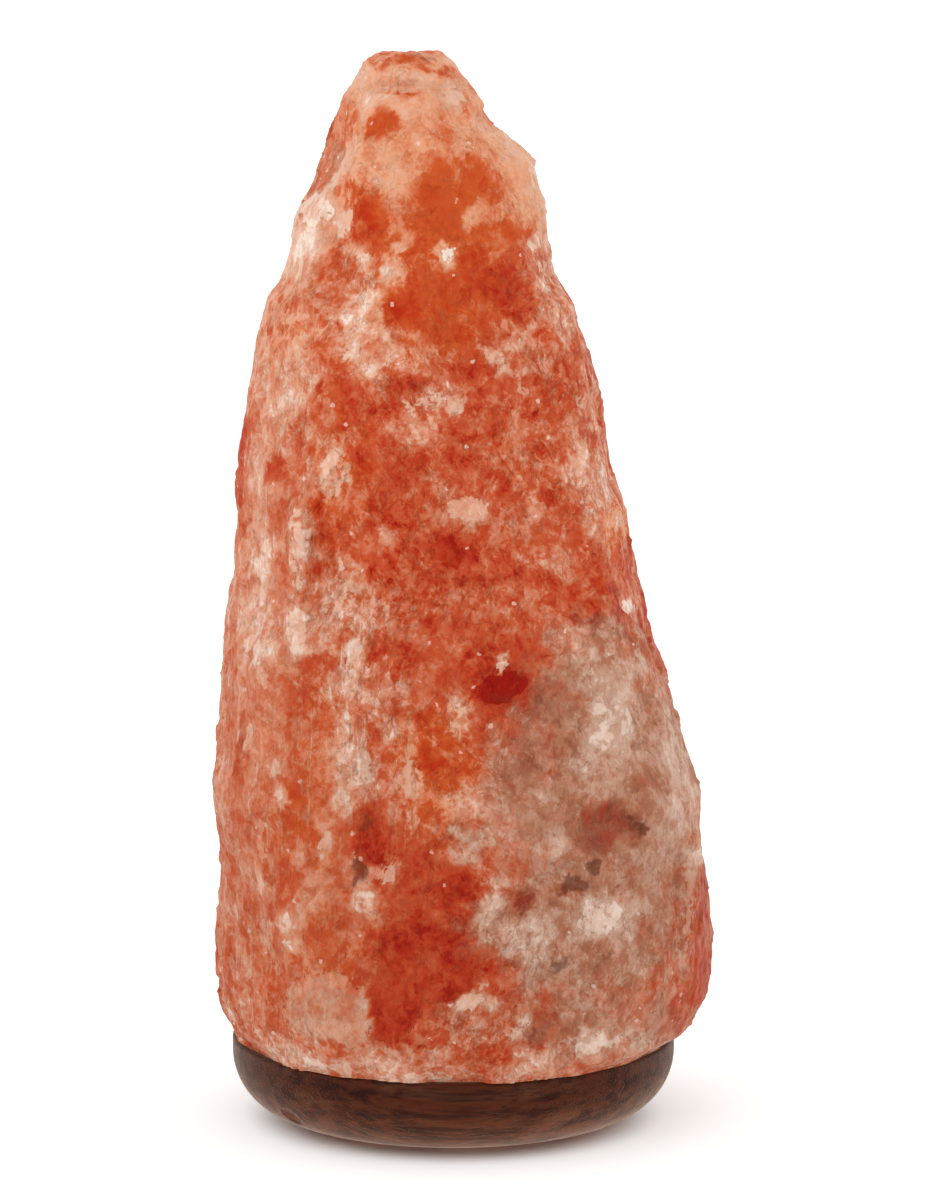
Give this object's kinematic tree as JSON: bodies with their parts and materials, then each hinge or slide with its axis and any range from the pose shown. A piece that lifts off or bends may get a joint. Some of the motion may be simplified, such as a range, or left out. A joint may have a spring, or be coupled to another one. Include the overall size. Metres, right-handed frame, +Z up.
{
  "type": "salt crystal lamp",
  "caption": "Tall tapering block of rough orange rock salt on a round dark wooden base, hollow from below for a small screw-in bulb held in the base by a spring clip.",
  "frame": {"origin": "on the table, under the centre of the round wooden base", "axes": "+Z up; +Y to the back, where the cord's channel leaves; +X to the right of a viewer who stands in front"},
  "size_m": [0.16, 0.1532, 0.34],
  "materials": {
    "rock_salt": "rough hewn, half-clear orange rock salt",
    "dark_wood": "stained and satin varnished hardwood",
    "black_rubber": "matt",
    "zinc_steel": "bright zinc plate",
    "spring_steel": "nickel plated",
    "grey_plug": "moulded",
    "black_plastic": "moulded, slightly glossy",
    "white_ceramic": "glazed steatite",
    "brass": "stamped, bright",
    "lamp_cap_metal": "nickel washed brass",
    "clear_glass": "clear, blown",
    "stem_glass": "clear, drawn",
    "black_glass": "opaque insulator glass",
    "solder": "dull tin solder",
    "wire": "drawn wire",
    "tungsten": "coiled wire"
  },
  "bodies": {
    "lamp_body": {"salt_crystal": "rock_salt", "wood_base": "dark_wood", "base_screws": "zinc_steel", "screw_plugs": "grey_plug", "foot_1": "black_rubber", "foot_2": "black_rubber", "foot_3": "black_rubber", "foot_4": "black_rubber"},
    "holder": {"holder_cap": "black_plastic", "holder_barrel": "black_plastic", "holder_core": "white_ceramic", "thread_shell": "brass", "shell_rivets": "brass", "contact_foot": "brass", "terminal_blocks": "brass", "terminal_screws": "zinc_steel", "cord_lock_screw": "grey_plug", "clip_collar": "spring_steel", "clip_screw": "zinc_steel", "clip_nut": "zinc_steel"},
    "clip_left": {"clip_wing_left": "spring_steel"},
    "clip_right": {"clip_wing_right": "spring_steel"},
    "contact_spring": {"contact_tongue": "brass"},
    "bulb_tip": {"bulb_contact": "solder", "bulb_insulator": "black_glass"},
    "bulb": {"bulb_cap": "lamp_cap_metal", "bulb_glass": "clear_glass", "bulb_stem": "stem_glass", "bulb_leads": "wire", "bulb_supports": "wire", "bulb_filament": "tungsten"}
  },
  "joints": [
    {"name": "holder_pull", "type": "slide", "parent": "lamp_body", "child": "holder", "axis": [0, 0, -1], "range_m": [0, 0.12]},
    {"name": "clip_left_pinch", "type": "hinge", "parent": "holder", "child": "clip_left", "pos_m": [-0.0137, 0, 0.0439], "axis": [0, -1, 0], "range_deg": [0, 10], "stiffness_Nm_per_rad": 0.5},
    {"name": "clip_right_pinch", "type": "hinge", "parent": "holder", "child": "clip_right", "pos_m": [0.0137, 0, 0.0439], "axis": [0, 1, 0], "range_deg": [0, 10], "stiffness_Nm_per_rad": 0.5},
    {"name": "bulb_lift", "type": "slide", "parent": "holder", "child": "bulb_tip", "axis": [0, 0, 1], "range_m": [0, 0.00988]},
    {"name": "bulb_turn", "type": "hinge", "parent": "bulb_tip", "child": "bulb", "pos_m": [0, 0, 0.047], "axis": [0, 0, 1], "range_deg": [0, 1260.1]},
    {"name": "contact_press", "type": "hinge", "parent": "holder", "child": "contact_spring", "pos_m": [-0.0026, 0, 0.04015], "axis": [0, -1, 0], "range_deg": [0, 20.02]}
  ],
  "couplings": [
    {"joint": "bulb_turn", "follows": "bulb_lift", "rad_per_m": 2226.5},
    {"joint": "contact_press", "follows": "bulb_lift", "rad_per_m": 35.341}
  ]
}
